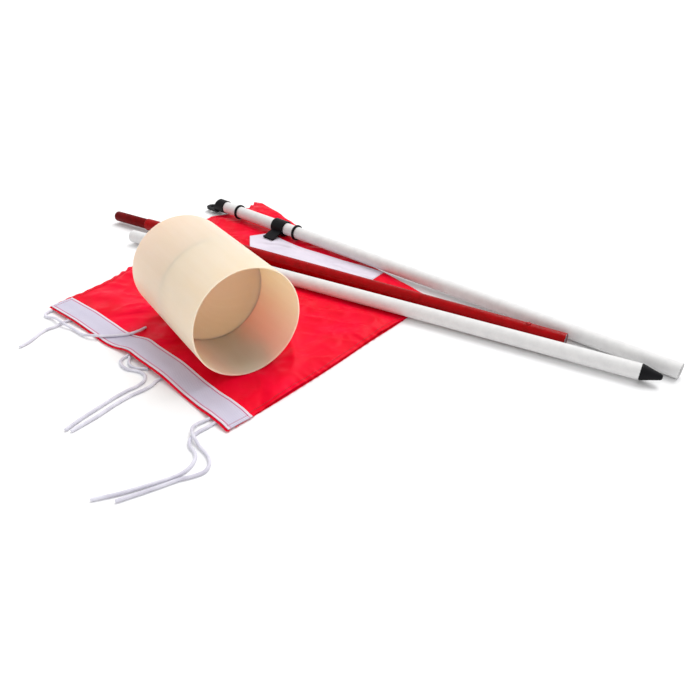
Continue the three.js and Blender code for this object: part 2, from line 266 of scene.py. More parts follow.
def swept(name, line, radius, finish):
    """A round tube along a line. radius is a table of its size at each ring and side."""
    rings, sides = radius.shape
    along = np.gradient(line, axis=0)
    along /= np.linalg.norm(along, axis=1)[:, None]
    side = np.cross(along, (0, 0, 1))
    side /= np.linalg.norm(side, axis=1)[:, None]
    up = np.cross(side, along)
    angle = np.linspace(0, 2 * pi, sides, endpoint=False)
    ring = np.cos(angle)[None, :, None] * side[:, None] + np.sin(angle)[None, :, None] * up[:, None]
    points = (line[:, None] + ring * radius[..., None]).reshape(-1, 3)
    points = np.vstack([points, line[0], line[-1]])
    first, last = rings * sides, rings * sides + 1
    at = np.arange(first).reshape(rings, sides)
    beside = np.roll(at, -1, axis=1)
    faces = list(np.stack([at[:-1], at[1:], beside[1:], beside[:-1]], axis=-1).reshape(-1, 4))
    for j in range(sides):
        faces.append((first, at[0, j], beside[0, j]))
        faces.append((last, beside[-1, j], at[-1, j]))
    made = plain_mesh(name, points, faces, finish)
    turn_out(made)
    return made


def turn_out(made, weld=0.0):
    """Points every face of a closed mesh outwards, once points within the weld distance are one."""
    shape = bmesh.new()
    shape.from_mesh(made.data)
    if weld:
        bmesh.ops.remove_doubles(shape, verts=shape.verts, dist=weld)
    bmesh.ops.recalc_face_normals(shape, faces=shape.faces)
    shape.to_mesh(made.data)
    shape.free()


def belongs(piece, body, part=None):
    """The body that a piece moves with, and the CAD node it takes over."""
    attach(piece, body)
    if part:
        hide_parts(part)


tie_finish, tie_shader = new_finish(
    "braided_nylon", (0.76, 0.75, 0.82), 0.72, Sheen_Weight=0.3, Sheen_Roughness=0.4,
    Specular_IOR_Level=0.35,
)
tie_place = node(tie_finish, "TexCoord").outputs["Object"]
tie_dirt = noise(tie_finish, tie_place, 45.0, 3.0)
tie_tone = ramp(tie_finish, tie_dirt, (0.3, (0.55, 0.53, 0.62)), (0.62, (0.74, 0.73, 0.81)))
feed(tie_finish, tie_tone, tie_shader, "Base Color")
tie_fuzz = noise(tie_finish, tie_place, 900.0, 4.0)
feed(tie_finish, raised(tie_finish, tie_fuzz, 0.5, 0.0003), tie_shader, "Normal")

for name, (length, route) in tie_routes.items():
    route = np.array([(*point, ON_FLOOR)[:3] for point in route]) * MM
    exit_point = route[0]
    out = route[1] - exit_point
    points = [exit_point - TUCKED_UNDER * out / np.linalg.norm(out), *route]
    # The middle cord shows a short loop as well, which goes back under the hem.
    bight = name == "middle_tie_bight"
    if bight:
        back = route[-1] - route[-2]
        points.append(points[-1] + TUCKED_UNDER * back / np.linalg.norm(back))
    line = smooth_line(points, 0.55 * MM)
    at = run_of(line)[:, None]
    angle = np.linspace(0, 2 * pi, BRAID_SIDES, endpoint=False)[None, :]
    turn = 2 * pi * at / BRAID_LAY
    strands = np.cos(STRANDS * angle + turn) * np.cos(STRANDS * angle - turn)
    radius = CORD_ACROSS / 2 * (0.965 + 0.075 * strands)
    if not bight:
        melted = np.clip((at[-1] - at) / MELTED_TIP, 0, 1)
        radius = radius * (0.6 + 0.4 * np.sqrt(1 - (1 - melted) ** 2))
    tie = swept(name + "_braid", line, radius, tie_finish)
    belongs(tie, "sock", name)

# ---- Sock, first section ----
# Two layers of red nylon taffeta, sewn together down both sides with a narrow turned hem. The sock
# lies flat, so the cloth is pressed down under the drum and the poles and rumpled between them.
# From here on, lengths are in millimetres until they go into a mesh.

HEM = 9
CLOTH_THICK = 0.35 * MM
mouth_line = smooth_line([(-320, -257), (-181, -256), (-30, -258), (163, -276.5)], 4)


def sideways(line, distance):
    """A flat line moved to its left."""
    along = np.gradient(line[:, :2], axis=0)
    along /= np.linalg.norm(along, axis=1)[:, None]
    return line[:, :2] + np.stack([-along[:, 1], along[:, 0]], axis=1) * distance


def between(low, high, value):
    """0 below low, 1 above high, and a smooth step between them."""
    t = np.clip((value - low) / (high - low), 0, 1)
    return t * t * (3 - 2 * t)


def rumple(x, y, size, seed, turn=0.0, stretch=1.0):
    """Smooth bumps from 0 to 1, about size apart, drawn out by stretch along the turned direction."""
    c, s = cos(turn), sin(turn)
    u, v = (x * c + y * s) / (size * stretch) + 500, (y * c - x * s) / size + 500
    table = np.random.default_rng(seed).random((64, 64))
    i, j = np.floor(u).astype(int), np.floor(v).astype(int)
    fu, fv = (f * f * f * (f * (6 * f - 15) + 10) for f in (u - i, v - j))

    def at(a, b):
        return table[a % 64, b % 64]

    low = at(i, j) * (1 - fu) + at(i + 1, j) * fu
    high = at(i, j + 1) * (1 - fu) + at(i + 1, j + 1) * fu
    return low * (1 - fv) + high * fv


def middle_of(part):
    """The middle of a CAD node's box."""
    low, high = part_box(part)
    return (low + high) / 2 / MM


pole_lines = {
    "top": (middle_of("top_pole_tube"), 0.0),
    "middle": (middle_of("middle_pole_tube"), radians(8.5)),
    "bottom": (middle_of("bottom_pole_tube"), radians(10.5)),
}
POLE_LENGTH, DRUM_LENGTH = 1000, 232
drum_heading = radians(164.8)
drum_middle = middle_of("drum_shell")


def off_line(x, y, middle, heading, half):
    """How far points of the floor are from a stretch of a line."""
    dx, dy = x - middle[0], y - middle[1]
    along = dx * cos(heading) + dy * sin(heading)
    across = dy * cos(heading) - dx * sin(heading)
    return np.hypot(across, np.maximum(np.abs(along) - half, 0))


def outside(x, y, outline):
    """How far points are outside a closed outline, and 0 inside it."""
    inside, nearest = np.zeros(x.shape, bool), np.full(x.shape, np.inf)
    for a, b in zip(outline, np.roll(outline, -1, axis=0)):
        run = b - a
        t = np.clip(((x - a[0]) * run[0] + (y - a[1]) * run[1]) / max(run @ run, 1e-9), 0, 1)
        nearest = np.minimum(nearest, np.hypot(x - a[0] - t * run[0], y - a[1] - t * run[1]))
        if a[1] != b[1]:
            inside ^= ((a[1] > y) != (b[1] > y)) & (x < a[0] + (y - a[1]) / run[1] * run[0])
    return np.where(inside, 0, nearest)


# The outline of the white section and tail, folded into a strip beside the middle pole section.
STRIP_CLEAR = 15.5
WHITE_ROWS, TAIL_ROWS = 44, 34
pole_middle, pole_heading = pole_lines["middle"]


def beside_pole(at):
    """A point of the strip's near side, a little clear of the middle pole section."""
    rise = (at - pole_middle[0]) * np.tan(pole_heading)
    return (at, pole_middle[1] + rise + STRIP_CLEAR / cos(pole_heading))


white_near = np.array([beside_pole(-215), beside_pole(44)])
white_far = smooth_line(
    [
        (-264, 193), (-226, 186), (-190, 182.5), (-157, 181.5), (-113, 185), (-50, 190), (-5, 195.5),
        (39, 199),
    ], 3
)
white_left = resampled(np.array([beside_pole(-215), (-249, 120), (-285, 153), (-264, 193)]), WHITE_ROWS)
white_right = np.array([beside_pole(44), (39, 199)])
tail_near = np.array([beside_pole(44.4), beside_pole(150)])
tail_far = smooth_line([(39.4, 198.6), (75, 191), (112, 183.5), (147, 174)], 3)
tail_left = np.array([beside_pole(44.4), (39.4, 198.6)])
tail_right = np.array([beside_pole(150), (147, 174)])
strip_outline = np.vstack([white_near, tail_near[1:], tail_far[::-1], white_far[::-1], white_left[::-1]])

# Where the clip's tab comes down when it is turned over to the far side of the pole.
SWEEP_SPARE = 8
clip_low, clip_high = (np.array(c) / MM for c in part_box("swivel_clip"))
sweep_from = pole_lines["top"][0][1]
sweep_to = 2 * sweep_from - clip_low[1] + SWEEP_SPARE
clip_sweep = np.array([
    (clip_low[0], sweep_from), (clip_high[0], sweep_from), (clip_high[0], sweep_to), (clip_low[0], sweep_to),
])


def pressed(x, y):
    """1 where the cloth is free, and 0 where the drum or a pole presses it flat."""
    free = between(10, 62, off_line(x, y, drum_middle, drum_heading, DRUM_LENGTH / 2))
    for name, (middle, heading) in pole_lines.items():
        free = free * between(6, 42, off_line(x, y, middle, heading, POLE_LENGTH / 2))
    free = free * between(3, 24, outside(x, y, clip_sweep))
    return free * between(3, 26, outside(x, y, strip_outline))


UNDER_POLES = 2.1


def sock_height(x, y, edge):
    """How high the top layer lies over the floor. edge is the distance from its side hems."""
    free = pressed(x, y)
    swell = 5.5 * (rumple(x, y, 95, 3, radians(70), 1.6) - 0.38)
    folds = 1 - np.abs(2 * rumple(x, y, 46, 11, radians(-38), 2.6) - 1)
    drawn = 1 - np.abs(2 * rumple(x, y, 26, 5, radians(25), 2.2) - 1)
    soft = rumple(x, y, 14, 8, radians(-60), 1.8)
    height = swell + 5.6 * folds ** 2 + 2.6 * drawn ** 2 + 0.9 * soft
    height = UNDER_POLES + free * np.maximum(height, 0)
    settle = between(0, 30, edge)
    return UNDER_POLES + (height - UNDER_POLES) * (0.35 + 0.65 * settle)


left_side = smooth_line(
    [
        (-320.6, -280), (-327, -236), (-331, -169), (-353, -90), (-421, 130), (-431, 178), (-424, 205),
        (-407, 256), (-411, 277), (-423, 299.4),
    ], 3
)
right_side = smooth_line([(160.5, -299.5), (165.5, -197), (168, -103), (167.5, -6), (169, 86), (165, 174)], 3)
far_side = np.array([(-423, 299.4), (165, 174)])
near_side = sideways(mouth_line, -23)


def patch(near, far, left, right, across, along):
    """A flat grid of points between four edges, as rows from the near edge to the far one."""
    near, far = resampled(near, across), resampled(far, across)
    left, right = resampled(left, along), resampled(right, along)
    u, v = np.linspace(0, 1, across)[None, :, None], np.linspace(0, 1, along)[:, None, None]
    sides = left[:, None] * (1 - u) + right[:, None] * u
    ends = near[None] * (1 - v) + far[None] * v
    pins = (
        near[0] * (1 - u) * (1 - v) + near[-1] * u * (1 - v) + far[0] * (1 - u) * v + far[-1] * u * v
    )
    return sides + ends - pins


def grid_faces(rows, columns):
    """The faces of a grid of points."""
    at = np.arange(rows * columns).reshape(rows, columns)
    return np.stack([at[:-1, :-1], at[:-1, 1:], at[1:, 1:], at[1:, :-1]], axis=-1).reshape(-1, 4)


def flat_map(made, places):
    """Writes where each point is on the flat cloth or unrolled wall, in metres, as a UV map."""
    layer = made.data.uv_layers.new(name="laid_flat")
    index = np.zeros(len(made.data.loops), int)
    made.data.loops.foreach_get("vertex_index", index)
    layer.data.foreach_set("uv", np.asarray(places)[index].astype(np.float32).ravel())


def threads(finish, place, way, pitch):
    """Even ribs a pitch apart. A wave texture of scale 1 repeats every 0.314 m."""
    values = {"Vector": place, "Scale": 0.314 / pitch}
    return node(finish, "TexWave", values, bands_direction=way).outputs["Fac"]


def cloth_finish(name, deep, bright, sheen):
    """Fine taffeta: a plain weave with a soft sheen, a little uneven in its dye."""
    finish, shader = new_finish(
        name, bright, 0.4, Sheen_Weight=0.02, Sheen_Roughness=0.35, Sheen_Tint=(*sheen, 1),
        Specular_IOR_Level=0.07,
    )
    flat = node(finish, "TexCoord").outputs["UV"]
    dye = noise(finish, flat, 14.0, 5.0, Roughness=0.6)
    feed(finish, ramp(finish, dye, (0.3, deep), (0.7, bright)), shader, "Base Color")
    worn = noise(finish, flat, 40.0, 3.0)
    feed(finish, mapped(finish, worn, 0.3, 0.46), shader, "Roughness")
    warp, weft = (threads(finish, flat, way, 0.0011) for way in "XY")
    broad = noise(finish, flat, 13.0, 1.5, Distortion=0.7)
    sway = raised(finish, broad, 1.0, 0.018)
    crumple = noise(finish, flat, 95.0, 4.0, Distortion=0.6)
    rough = raised(finish, crumple, 0.16, 0.002, Normal=sway)
    woven = raised(finish, worked(finish, "MULTIPLY", warp, weft), 0.35, 0.00006, Normal=rough)
    feed(finish, woven, shader, "Normal")
    return finish


red_cloth = cloth_finish("red_taffeta", (0.70, 0.0, 0.010), (0.88, 0.0, 0.034), (1.0, 0.55, 0.65))

ROWS, COLUMNS = 150, 215
flat = patch(near_side, far_side, left_side, right_side, COLUMNS, ROWS)
x, y = flat[..., 0].copy(), flat[..., 1].copy()
width_at = np.linalg.norm(flat[:, -1] - flat[:, 0], axis=1)[:, None]
share = np.linspace(0, 1, COLUMNS)[None, :]
from_left, from_right = share * width_at, (1 - share) * width_at
edge = np.minimum(from_left, from_right)
down = run_of(flat[:, -1])[:, None]

# The hem's stitching draws the side up into short puckers.
pucker = np.sin(2 * pi * down / 15 + 1.6 * np.sin(down / 31)) * (0.6 + 0.4 * np.sin(down / 23 + 1))
x += 2.2 * pucker * np.exp(-from_right / 7) - 1.2 * pucker * np.exp(-from_left / 5)
z = sock_height(x, y, edge)
free = pressed(x, y)
z += free * (2.2 * pucker + 1.6) * (np.exp(-from_right / 11) + 0.7 * np.exp(-from_left / 11))
z += 0.35 * (1 - between(HEM - 1, HEM + 1, edge))
z -= 0.45 * np.exp(-((edge - HEM) / 1.1) ** 2) * free

# Under the mouth band the cloth follows the band, which rises over the ties that come out below it.
near = np.linspace(0, 1, ROWS)[:, None] * np.linalg.norm(flat[-1] - flat[0], axis=1)[None, :]


def band_rise(x):
    """The band's height over where it would lie flat, along the mouth."""
    middle = 5.8 * between(-136, -88, x) * (1 - between(-12, 62, x))
    left = 3.3 * (1 - between(-250, -196, x))
    right = 3.0 * between(86, 124, x) * (1 - between(142, 166, x))
    return middle + left + right


def band_drift(x):
    """How far the band strays from its even line, towards the far end."""
    return 2.6 * np.exp(-(((x + 98) / 24) ** 2)) - 3.0 * np.exp(-(((x + 152) / 30) ** 2))


in_band = 1 - between(46, 92, near)
z = z * (1 - in_band) + (UNDER_POLES + band_rise(x) * (1 - between(40, 92, near))) * in_band
y += band_drift(x) * in_band
sock_top = plain_mesh(
    "sock_top_layer", np.stack([x, y, z], -1).reshape(-1, 3) * MM, grid_faces(ROWS, COLUMNS), red_cloth
)
flat_map(sock_top, flat.reshape(-1, 2) * MM)


def give_thickness(cloth, thick=CLOTH_THICK):
    """The thickness of the cloth, below its upper face."""
    wall = cloth.modifiers.new("cloth", "SOLIDIFY")
    wall.thickness, wall.offset = thick, -1


give_thickness(sock_top)
belongs(sock_top, "sock", "sock_first_section")


def area_of(grid):
    """The flat area inside the rim of a grid of points, in square metres."""
    a = np.vstack([grid[0], grid[1:, -1], grid[-1, -2::-1], grid[-2:0:-1, 0]])
    b = np.roll(a, -1, axis=0)
    return abs(float((a[:, 0] * b[:, 1] - a[:, 1] * b[:, 0]).sum())) / 2 * MM * MM


def stitch_tree():
    """Geometry nodes that sew a line: a short raised thread every pitch along each edge."""
    tree = bpy.data.node_groups.new("sewn_line", "GeometryNodeTree")
    face = tree.interface
    face.new_socket("Line", in_out="INPUT", socket_type="NodeSocketGeometry")
    for label in ("Pitch", "Stitch length", "Thread"):
        face.new_socket(label, in_out="INPUT", socket_type="NodeSocketFloat")
    face.new_socket("Thread finish", in_out="INPUT", socket_type="NodeSocketMaterial")
    face.new_socket("Stitches", in_out="OUTPUT", socket_type="NodeSocketGeometry")

    def join(giver, output, taker, *inputs):
        for name in inputs:
            tree.links.new(giver.outputs[output], taker.inputs[name])

    put = tree.nodes.new
    given, result = put("NodeGroupInput"), put("NodeGroupOutput")
    curve = put("GeometryNodeMeshToCurve")
    points = put("GeometryNodeCurveToPoints")
    points.mode = "LENGTH"
    ball = put("GeometryNodeMeshUVSphere")
    ball.inputs["Segments"].default_value, ball.inputs["Rings"].default_value = 8, 5
    ball.inputs["Radius"].default_value = 0.5
    size = put("ShaderNodeCombineXYZ")
    sew = put("GeometryNodeInstanceOnPoints")
    real = put("GeometryNodeRealizeInstances")
    dye = put("GeometryNodeSetMaterial")
    join(given, "Line", curve, "Mesh")
    join(curve, "Curve", points, "Curve")
    join(given, "Pitch", points, "Length")
    join(points, "Points", sew, "Points")
    join(points, "Rotation", sew, "Rotation")
    join(ball, "Mesh", sew, "Instance")
    join(given, "Thread", size, "X", "Y")
    join(given, "Stitch length", size, "Z")
    join(size, "Vector", sew, "Scale")
    join(sew, "Instances", real, "Geometry")
    join(real, "Geometry", dye, "Geometry")
    join(given, "Thread finish", dye, "Material")
    join(dye, "Geometry", result, "Stitches")
    return tree


sewn_line = stitch_tree()


def baked(made):
    """The plain mesh that a piece's modifiers leave."""
    graph = bpy.context.evaluated_depsgraph_get()
    return bpy.data.meshes.new_from_object(made.evaluated_get(graph))


def run_nodes(name, carrier, tree, values):
    """The plain mesh that geometry nodes make from a carrier object, which is then removed."""
    modifier = carrier.modifiers.new("made", "NODES")
    modifier.node_group = tree
    for item in tree.interface.items_tree:
        if item.in_out == "INPUT" and item.name in values:
            modifier[item.identifier] = values[item.name]
    carrier.update_tag()
    mesh = baked(carrier)
    mesh.name = name
    made = bpy.data.objects.new(name, mesh)
    scene.collection.objects.link(made)
    bpy.data.objects.remove(carrier)
    return made


def sewn(name, lines, thread, pitch, length, thick):
    """Rows of stitches on the sock, along lines."""
    points, edges = [], []
    for line in lines:
        edges += [(len(points) + i, len(points) + i + 1) for i in range(len(line) - 1)]
        points += [tuple(np.array(p) * MM) for p in line]
    mesh = bpy.data.meshes.new(name + "_line")
    mesh.from_pydata(points, edges, [])
    carrier = bpy.data.objects.new(name + "_line", mesh)
    scene.collection.objects.link(carrier)
    sizes = {"Pitch": pitch * MM, "Stitch length": length * MM, "Thread": thick * MM, "Thread finish": thread}
    made = run_nodes(name, carrier, sewn_line, sizes)
    made.data.shade_smooth()
    belongs(made, "sock")
    return made


def thread_finish(name, colour):
    """Twisted polyester thread."""
    finish, shader = new_finish(name, colour, 0.5, Sheen_Weight=0.2)
    ply = noise(finish, node(finish, "TexCoord").outputs["Object"], 1500.0, 2.0)
    shade = [0.7 * c for c in colour]
    feed(finish, ramp(finish, ply, (0.0, shade), (1.0, colour)), shader, "Base Color")
    return finish


# The red thread is much darker than the cloth: painted shade, drawing the darker line of the hem and seam
# grooves.
red_thread_painted_shade = thread_finish("red_thread_painted_shade", (0.33, 0.0, 0.012))
HEM_STARTS = 10


def hem_line(from_side):
    """The line of a side hem's stitches, just above the cloth of the top layer."""
    columns = [(i, int(np.argmin(np.abs(from_side[i] - HEM + 1)))) for i in range(HEM_STARTS, ROWS - 1)]
    return [(x[i, j], y[i, j], z[i, j] + 0.12) for i, j in columns]


hem_stitches = sewn(
    "side_hem_stitches", [hem_line(from_left), hem_line(from_right)], red_thread_painted_shade,
    pitch=2.8, length=2.4, thick=0.8,
)

UNDER_ROWS, UNDER_COLUMNS = 70, 90
under = patch(
    sideways(mouth_line, -12), far_side, left_side[6:], right_side[6:], UNDER_COLUMNS, UNDER_ROWS,
)
under_z = 0.45 + 0.25 * rumple(under[..., 0], under[..., 1], 40, 21)
sock_under = plain_mesh(
    "sock_under_layer", np.dstack([under, under_z]).reshape(-1, 3) * MM,
    grid_faces(UNDER_ROWS, UNDER_COLUMNS), red_cloth,
)
flat_map(sock_under, under.reshape(-1, 2) * MM)
give_thickness(sock_under)
belongs(sock_under, "sock")

# ---- Sock, white section and tail ----
# The rest of the sock is folded double and laid back over the first section in one narrow strip:
# white taffeta, then a red tail sewn to it. Each is one cloth with its fold on the far side.

STRIP_TOP = 4.1
STRIP_UNDER = 2.95
STRIP_THICK = 0.3 * MM


def folded_strip(name, near, far, left, right, across, along, finish, seed):
    """A cloth folded back under itself along its far side, its flat area, and its upper face."""
    top = patch(near, far, left, right, across, along)
    crease = 0.5 * rumple(top[..., 0], top[..., 1], 22, seed, radians(20), 2.5)
    run = np.linspace(0, 1, along)[:, None]
    top_z = STRIP_TOP + crease * np.sin(pi * run) - 0.5 * (1 - between(0, 0.12, run))
    fold_angle = np.linspace(0, pi, 9)[1:-1, None]
    lip = (STRIP_TOP - STRIP_UNDER) / 2
    out = top[-1] - top[-2]
    out = out / np.linalg.norm(out, axis=1)[:, None]
    bend = top[-1][None] + out[None] * (lip * np.sin(fold_angle))[..., None]
    bend_z = STRIP_UNDER + lip + lip * np.cos(fold_angle) + 0 * top_z[-1][None]
    below = top[::-1]
    below_z = STRIP_UNDER + 0 * top_z
    flat_points = np.vstack([top, bend, below])
    height = np.vstack([top_z, bend_z, below_z])
    rows = len(flat_points)
    made = plain_mesh(
        name, np.dstack([flat_points, height]).reshape(-1, 3) * MM, grid_faces(rows, across), finish
    )
    run_on = np.repeat(run_of(flat_points[:, 0])[:, None], across, axis=1)
    flat_map(made, np.dstack([flat_points[..., 0], run_on]).reshape(-1, 2) * MM)
    give_thickness(made, STRIP_THICK)
    return made, 2 * area_of(top), top, top_z


white_cloth = cloth_finish("white_taffeta", (0.68, 0.63, 0.73), (0.76, 0.71, 0.80), (1.0, 0.9, 0.95))
white_strip, white_area, white_top, white_z = folded_strip(
    "sock_white_strip", white_near, white_far, white_left, white_right, 130, WHITE_ROWS, white_cloth, 31,
)
belongs(white_strip, "sock", "sock_white_section")

tail_strip, tail_area, tail_top, tail_z = folded_strip(
    "sock_tail_strip", tail_near, tail_far, tail_left, tail_right, 50, TAIL_ROWS, red_cloth, 37,
)
belongs(tail_strip, "sock", "sock_tail_section")

seam_stitches = sewn(
    "strip_seam_stitches",
    [
        [(*white_top[i, -2], white_z[i, -2] + 0.1) for i in range(1, WHITE_ROWS - 1)],
        [(*tail_top[i, 2], tail_z[i, 2] + 0.1) for i in range(1, TAIL_ROWS - 1)],
    ],
    red_thread_painted_shade, pitch=2.8, length=2.2, thick=0.4,
)

# ---- Mouth band ----
# A 40 mm band of white nylon webbing, laid on the sock's mouth and sewn down with a row of magenta
# thread near each edge and across each end. It rides up where the ties come out below it.

BAND_HALF = 20
BAND_THICK = 1.2
SEWN_AT = 15.4
BAND_LENGTH = 485
BAND_ROWS, BAND_COLUMNS = 330, 41
END_ROW = 4
band_run = resampled(np.array(mouth_line), BAND_ROWS)
band_cross = np.linspace(-BAND_HALF, BAND_HALF, BAND_COLUMNS)
spread_out = np.stack([sideways(band_run, across) for across in band_cross], axis=1)
band_x = spread_out[..., 0]
band_y = spread_out[..., 1] + band_drift(band_x)
across = band_cross[None, :]
crown = 0.25 * np.sin(pi * (across + BAND_HALF) / (2 * BAND_HALF))
selvedge = 0.28 * np.exp(-((np.abs(across) - BAND_HALF + 0.8) / 0.7) ** 2)
valley = 0.42 * np.exp(-((np.abs(across) - SEWN_AT) / 0.8) ** 2)
slack = 0.35 * (rumple(band_x, band_y, 30, 41) - 0.5)
band_z = UNDER_POLES + 0.45 + BAND_THICK + band_rise(band_x) + crown + selvedge - valley + slack
row = np.arange(BAND_ROWS)
from_ends = np.minimum(row, row[::-1])[:, None] * BAND_LENGTH / (BAND_ROWS - 1)
band_z = band_z - 0.35 * np.exp(-((from_ends - 6) / 0.9) ** 2)


def band_finish():
    """Ribbed webbing, whiter at its selvedges, with a little red showing through at the stitches, and painted
    shade that darkens its colour between the ribs.
    """
    finish, shader = new_finish(
        "band_webbing", (0.70, 0.66, 0.80), 0.62, Sheen_Weight=0.25, Sheen_Roughness=0.4
    )
    flat = node(finish, "TexCoord").outputs["UV"]
    across = node(finish, "SeparateXYZ", {"Vector": flat}).outputs["Y"]
    zones = mapped(finish, worked(finish, "ABSOLUTE", across), 0.0, 1.0, end=BAND_HALF * MM)
    tone = ramp(
        finish, zones, (0.0, (0.66, 0.63, 0.77)), (0.68, (0.69, 0.66, 0.80)), (0.74, (0.78, 0.55, 0.70)),
        (0.775, (0.60, 0.16, 0.34)), (0.81, (0.80, 0.60, 0.73)), (0.88, (0.86, 0.80, 0.88)),
        (1.0, (0.84, 0.80, 0.88)),
    )
    stain = noise(finish, flat, 35.0, 4.0)
    shade = ramp(finish, stain, (0.0, (0.86, 0.85, 0.9)), (1.0, (1, 1, 1)))
    mixed = node(finish, "MixRGB", {"Fac": 0.7, "Color1": tone, "Color2": shade}, blend_type="MULTIPLY")
    ribs, picks = threads(finish, flat, "X", 0.0024), threads(finish, flat, "Y", 0.0008)
    # The ribs scale the base colour down between them: painted shade in the grooves of the weave.
    values = {0: mixed.outputs["Color"], "Scale": mapped(finish, ribs, 0.70, 1.0)}
    rib_painted_shade = node(finish, "VectorMath", values, operation="SCALE")
    feed(finish, rib_painted_shade.outputs["Vector"], shader, "Base Color")
    woven = worked(finish, "ADD", ribs, picks)
    feed(finish, raised(finish, woven, 0.45, 0.00012), shader, "Normal")
    return finish


band_points = np.dstack([band_x, band_y, band_z])
facing_up = grid_faces(BAND_ROWS, BAND_COLUMNS)[:, ::-1]
band = plain_mesh("mouth_band_webbing", band_points.reshape(-1, 3) * MM, facing_up, band_finish())
flat_run = np.linspace(0, BAND_LENGTH, BAND_ROWS)
band_flat = np.dstack(np.meshgrid(flat_run, band_cross, indexing="ij"))
flat_map(band, band_flat.reshape(-1, 2) * MM)
give_thickness(band, BAND_THICK * MM)
belongs(band, "sock", "mouth_band")

magenta_thread = thread_finish("magenta_thread", (0.55, 0.02, 0.12))


def over_band(rows, columns):
    """A line just above the band."""
    return [(*band_points[i, j, :2], band_points[i, j, 2] + 0.12) for i in rows for j in columns]


low, high = int(BAND_HALF - SEWN_AT), int(BAND_HALF + SEWN_AT + 1)
last_row = BAND_ROWS - 1 - END_ROW
band_stitches = sewn(
    "band_stitches",
    [
        *(over_band(range(END_ROW, last_row + 1), [column]) for column in (low, high)),
        *(over_band([row], range(low, high + 1)) for row in (END_ROW, last_row)),
    ],
    magenta_thread, pitch=3.0, length=2.7, thick=0.75,
)

# ---- Drum ----
# A stiff cylinder rolled and welded from 2 mm translucent polypropylene, open at both ends, with a
# bulkhead welded in half way along.


def turned(name, outline, sides, finish, origin, axis, ripple=None):
    """A closed outline of (along, radius) points, turned about an axis through the origin given."""
    axis = Vector(axis).normalized()
    side = axis.cross(Vector((0, 0, 1))).normalized()
    up = side.cross(axis)
    frame_of = np.array([axis, side, up])
    outline = np.array(outline, float)
    angle = np.linspace(0, 2 * pi, sides, endpoint=False)
    along, radius = (np.repeat(outline[:, k, None], sides, axis=1) for k in (0, 1))
    if ripple:
        radius = radius + ripple(along, angle[None, :])
    local = np.dstack([along, radius * np.cos(angle), radius * np.sin(angle)])
    points = (local @ frame_of + np.array(origin)).reshape(-1, 3) * MM
    at = np.arange(len(outline) * sides).reshape(-1, sides)
    beside, after = np.roll(at, -1, axis=1), np.roll(at, -1, axis=0)
    faces = np.stack([at, beside, np.roll(after, -1, axis=1), after], axis=-1).reshape(-1, 4)
    made = plain_mesh(name, points, faces, finish)
    turn_out(made, weld=1e-7)
    made.data.set_sharp_from_angle(angle=radians(40))
    off = np.array([point.co for point in made.data.vertices]) - np.array(origin) * MM
    run, a, b = off @ frame_of[0], off @ frame_of[1], off @ frame_of[2]
    flat_map(made, np.stack([np.arctan2(b, a) * np.hypot(a, b), run], axis=1))
    return made


def rounded(corner, before, after, radius, steps=4):
    """Points of a small fillet at a corner of an outline."""
    corner, before, after = (np.array(p, float) for p in (corner, before, after))
    a = corner + radius * (before - corner) / np.linalg.norm(before - corner)
    b = corner + radius * (after - corner) / np.linalg.norm(after - corner)
    t = np.linspace(0, 1, steps + 1)[:, None]
    return [tuple(p) for p in (1 - t) ** 2 * a + 2 * t * (1 - t) * corner + t ** 2 * b]


def filleted(outline, radii):
    """The outline with each corner rounded by its own radius."""
    points = []
    for i, (corner, radius) in enumerate(zip(outline, radii)):
        points += rounded(corner, outline[i - 1], outline[(i + 1) % len(outline)], radius)
    return points


def along_wall(low, high, radius, count):
    """Points along a straight wall, so that it can follow a ripple."""
    return [(a, radius) for a in np.linspace(low, high, count)]


DRUM_RADIUS, DRUM_BORE = 84, 82
drum_axis = (cos(drum_heading), sin(drum_heading), 0)
half = DRUM_LENGTH / 2


def drum_ripple(along, angle):
    """The slight unevenness of a rolled sheet."""
    return 0.22 * np.sin(2 * angle + along / 90) + 0.12 * np.sin(5 * angle - along / 60 + 1)


rims = filleted(
    [(half, DRUM_RADIUS), (half, DRUM_BORE), (-half, DRUM_BORE), (-half, DRUM_RADIUS)], [0.8] * 4
)
shell_outline = [
    *along_wall(-half + 2, half - 2, DRUM_RADIUS, 24), *rims[:10],
    *along_wall(half - 2, -half + 2, DRUM_BORE, 24), *rims[10:],
]


def drum_finish():
    """Cream polypropylene that lets a warm light through, with faint streaks from the roll."""
    finish, shader = new_finish(
        "cream_polypropylene", (0.82, 0.67, 0.53), 0.34, Subsurface_Weight=0.9, Subsurface_Scale=0.014,
        Subsurface_Radius=(1.0, 0.8, 0.6), Specular_IOR_Level=0.3,
    )
    unrolled = node(finish, "TexCoord").outputs["UV"]
    drawn_out = node(finish, "Mapping", {"Vector": unrolled, "Scale": (60.0, 5.0, 1.0)}).outputs["Vector"]
    streak = noise(finish, drawn_out, 1.0, 4.0)
    place = node(finish, "TexCoord").outputs["Object"]
    both = worked(finish, "ADD", streak, noise(finish, place, 9.0, 3.0))
    halved = worked(finish, "MULTIPLY", both, 0.5)
    tone = ramp(finish, halved, (0.3, (0.84, 0.62, 0.43)), (0.7, (0.90, 0.69, 0.51)))
    feed(finish, tone, shader, "Base Color")
    feed(finish, mapped(finish, noise(finish, place, 55.0, 6.0), 0.28, 0.46), shader, "Roughness")
    grain = noise(finish, place, 420.0, 3.0)
    feed(finish, raised(finish, grain, 0.08, 0.0004), shader, "Normal")
    return finish


cream = drum_finish()
drum_shell = turned("drum_wall", shell_outline, 192, cream, drum_middle, drum_axis, drum_ripple)
belongs(drum_shell, "drum", "drum_shell")

